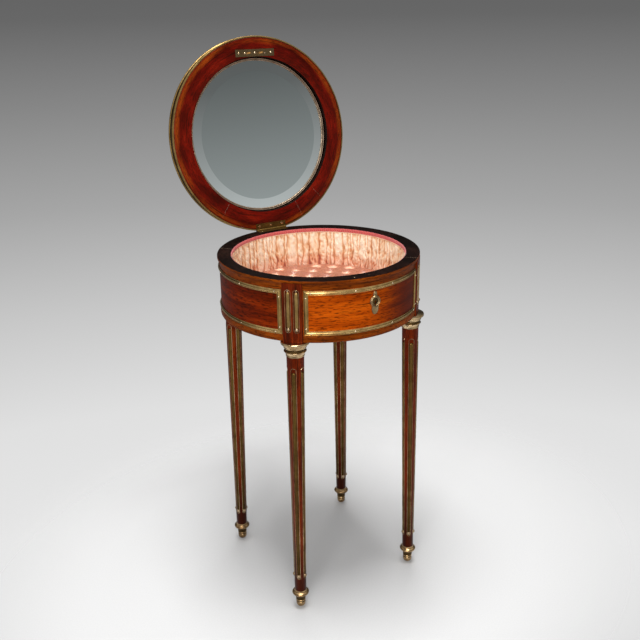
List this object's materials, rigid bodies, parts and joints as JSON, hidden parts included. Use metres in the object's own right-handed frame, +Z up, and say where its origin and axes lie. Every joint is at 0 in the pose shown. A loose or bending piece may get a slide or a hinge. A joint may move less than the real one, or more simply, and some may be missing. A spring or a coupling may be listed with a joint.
{
  "type": "bijouterie table",
  "caption": "Round jewellery table with a silk-lined drum on tapered brass-fluted legs, and a hinged lid with a bevelled mirror inside.",
  "frame": {"origin": "on the floor under the axis of the drum", "axes": "+Z up, the keyhole faces -Y, the hinge is at +Y"},
  "size_m": [0.403, 0.4718, 1.1059],
  "materials": {
    "frieze_wood": "polished orange-brown veneer",
    "leg_mahogany": "polished dark mahogany",
    "ebonised_rim": "ebonised, worn satin",
    "lid_wood": "polished red-brown veneer",
    "base_wood": "unpolished secondary wood",
    "antique_brass": "aged lacquered brass",
    "lock_steel": "dull iron lock case",
    "mirror_glass": "silvered, bevelled",
    "ruched_silk": "peach silk with pink, gathered",
    "tufted_satin": "salmon satin, tufted",
    "coral_braid": "coral woven braid"
  },
  "bodies": {
    "table": {"base_board": "base_wood", "base_cushion": "tufted_satin", "capital_back_left": "antique_brass", "capital_back_right": "antique_brass", "capital_front_left": "antique_brass", "capital_front_right": "antique_brass", "escutcheon": "antique_brass", "flute_rod_back_left_1": "antique_brass", "flute_rod_back_left_2": "antique_brass", "flute_rod_back_left_3": "antique_brass", "flute_rod_back_left_4": "antique_brass", "flute_rod_back_left_5": "antique_brass", "flute_rod_back_right_1": "antique_brass", "flute_rod_back_right_2": "antique_brass", "flute_rod_back_right_3": "antique_brass", "flute_rod_back_right_4": "antique_brass", "flute_rod_back_right_5": "antique_brass", "flute_rod_front_left_1": "antique_brass", "flute_rod_front_left_2": "antique_brass", "flute_rod_front_left_3": "antique_brass", "flute_rod_front_left_4": "antique_brass", "flute_rod_front_left_5": "antique_brass", "flute_rod_front_right_1": "antique_brass", "flute_rod_front_right_2": "antique_brass", "flute_rod_front_right_3": "antique_brass", "flute_rod_front_right_4": "antique_brass", "flute_rod_front_right_5": "antique_brass", "foot_back_left": "antique_brass", "foot_back_right": "antique_brass", "foot_front_left": "antique_brass", "foot_front_right": "antique_brass", "frieze_rail_back": "frieze_wood", "frieze_rail_front": "frieze_wood", "frieze_rail_left": "frieze_wood", "frieze_rail_right": "frieze_wood", "hinge_rim_leaf": "antique_brass", "leg_back_left": "leg_mahogany", "leg_back_right": "leg_mahogany", "leg_front_left": "leg_mahogany", "leg_front_right": "leg_mahogany", "lining_braid": "coral_braid", "lock_case": "lock_steel", "panel_frame_back": "antique_brass", "panel_frame_front": "antique_brass", "panel_frame_left": "antique_brass", "panel_frame_right": "antique_brass", "post_back_left": "leg_mahogany", "post_back_right": "leg_mahogany", "post_front_left": "leg_mahogany", "post_front_right": "leg_mahogany", "rim_ring": "ebonised_rim", "wall_lining": "ruched_silk"},
    "lid": {"lid_frame": "lid_wood", "lid_top_panel": "lid_wood", "lid_edge_moulding": "antique_brass", "mirror_glass": "mirror_glass", "mirror_bezel": "antique_brass", "hinge_lid_leaf": "antique_brass", "strike_plate": "antique_brass"},
    "lock_bolt": {"lock_bolt": "antique_brass"}
  },
  "joints": [
    {"name": "lid_hinge", "type": "hinge", "parent": "table", "child": "lid", "pos_m": [0, 0.1985, 0.70915], "axis": [1, 0, 0], "range_deg": [0, 97]},
    {"name": "lock_bolt_slide", "type": "slide", "parent": "table", "child": "lock_bolt", "axis": [1, 0, 0], "range_m": [0, 0.004]}
  ]
}
